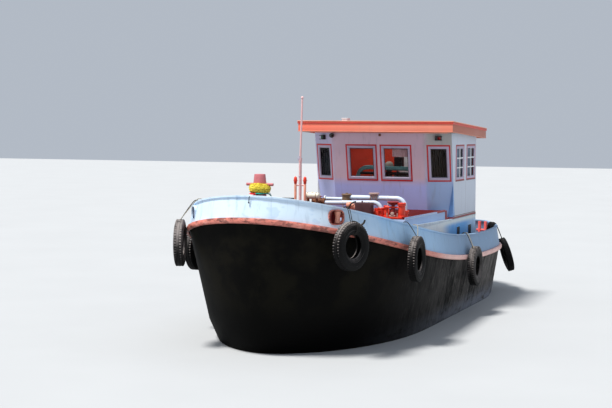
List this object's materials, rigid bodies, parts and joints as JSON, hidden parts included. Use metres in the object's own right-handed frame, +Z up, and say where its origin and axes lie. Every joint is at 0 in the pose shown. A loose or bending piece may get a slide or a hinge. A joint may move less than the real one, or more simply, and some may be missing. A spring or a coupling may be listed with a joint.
{
  "type": "river tug",
  "caption": "Small steel river tug with a raked wheelhouse, bulwarked deck, engine hatch, folding mast, rudder and tyre fenders.",
  "frame": {"origin": "amidships on the centreline, at the waterline", "axes": "+X towards the bow, +Y to port, +Z up"},
  "size_m": [14.54, 5.4566, 6.4295],
  "materials": {
    "hull_paint": "matt black paint, dusty, rust runs",
    "strake_paint": "worn salmon red paint, scraped",
    "red_paint": "orange red paint",
    "bulwark_paint": "light sky blue paint",
    "wall_paint": "off-white paint",
    "deck_paint": "dark oxide red paint",
    "glass": "clear window glass",
    "roof_paint": "orange red paint",
    "wood": "varnished dark wood",
    "seat_leather": "dark red seat cover",
    "mast_paint": "pinkish red paint",
    "pipe_paint": "white paint",
    "brown_paint": "dark brown paint, rusty",
    "rubber": "old black tyre rubber",
    "engine_iron": "bare casting",
    "bronze": "cast bronze"
  },
  "bodies": {
    "boat": {"hull": "hull_paint", "rubbing_strake": "strake_paint", "fairlead_port": "red_paint", "fairlead_starboard": "red_paint", "bulwark_bow": "bulwark_paint", "bulwark_port": "bulwark_paint", "bulwark_starboard": "bulwark_paint", "bulwark_stern": "bulwark_paint", "casing": "wall_paint", "house_facet_port": "wall_paint", "house_facet_starboard": "wall_paint", "house_front": "wall_paint", "pane_front_port": "glass", "pane_facet_port": "glass", "pane_front_starboard": "glass", "pane_facet_starboard": "glass", "pane_port_fore": "glass", "pane_port_aft": "glass", "house_side_port": "wall_paint", "pane_starboard_fore": "glass", "pane_starboard_aft": "glass", "house_side_starboard": "wall_paint", "house_aft": "wall_paint", "roof": "roof_paint", "steps": "deck_paint", "helm_console": "wood", "helm_seat": "seat_leather", "bow_bollard": "mast_paint", "mast_posts": "red_paint", "pump_manifold": "red_paint", "pipe_fore": "pipe_paint", "pipe_aft": "pipe_paint", "winch": "brown_paint", "aft_bollard_port": "red_paint", "aft_bollard_starboard": "red_paint", "tyre_port_bow": "rubber", "tyre_port_mid": "rubber", "tyre_port_aft": "rubber", "tyre_port_quarter": "rubber", "tyre_starboard_bow": "rubber", "tyre_starboard_mid": "rubber", "tyre_starboard_aft": "rubber", "engine": "engine_iron"},
    "door": {"house_door": "wall_paint"},
    "lid_port": {"hatch_lid_port": "deck_paint"},
    "lid_starboard": {"hatch_lid_starboard": "deck_paint"},
    "mast": {"mast": "mast_paint"},
    "helm_wheel": {"steering_wheel": "wood"},
    "propeller": {"propeller": "bronze"},
    "rudder": {"rudder": "hull_paint"}
  },
  "joints": [
    {"name": "door_swing", "type": "hinge", "parent": "boat", "child": "door", "pos_m": [-3.7503, 0.36, 3.2], "axis": [0, 0, -1], "range_deg": [0, 110]},
    {"name": "hatch_port_lift", "type": "hinge", "parent": "boat", "child": "lid_port", "pos_m": [0.47, 0.75, 2.4753], "axis": [-1, 0, 0], "range_deg": [0, 95]},
    {"name": "hatch_starboard_lift", "type": "hinge", "parent": "boat", "child": "lid_starboard", "pos_m": [0.47, -0.75, 2.4753], "axis": [1, 0, 0], "range_deg": [0, 95]},
    {"name": "mast_fold", "type": "hinge", "parent": "boat", "child": "mast", "pos_m": [4.4, 0, 3.25], "axis": [0, -1, 0], "range_deg": [0, 85]},
    {"name": "wheel_turn", "type": "hinge", "parent": "boat", "child": "helm_wheel", "pos_m": [-2.01, 0, 2.97], "axis": [1, 0, 0], "range_deg": [-420, 420]},
    {"name": "propeller_spin", "type": "hinge", "parent": "boat", "child": "propeller", "pos_m": [-5.6, 0, -0.7], "axis": [1, 0, 0], "continuous": true},
    {"name": "rudder_turn", "type": "hinge", "parent": "boat", "child": "rudder", "pos_m": [-6.06, 0, -0.5], "axis": [0, 0, 1], "range_deg": [-35, 35]}
  ],
  "couplings": [
    {"joint": "wheel_turn", "follows": "rudder_turn", "ratio": 12}
  ]
}
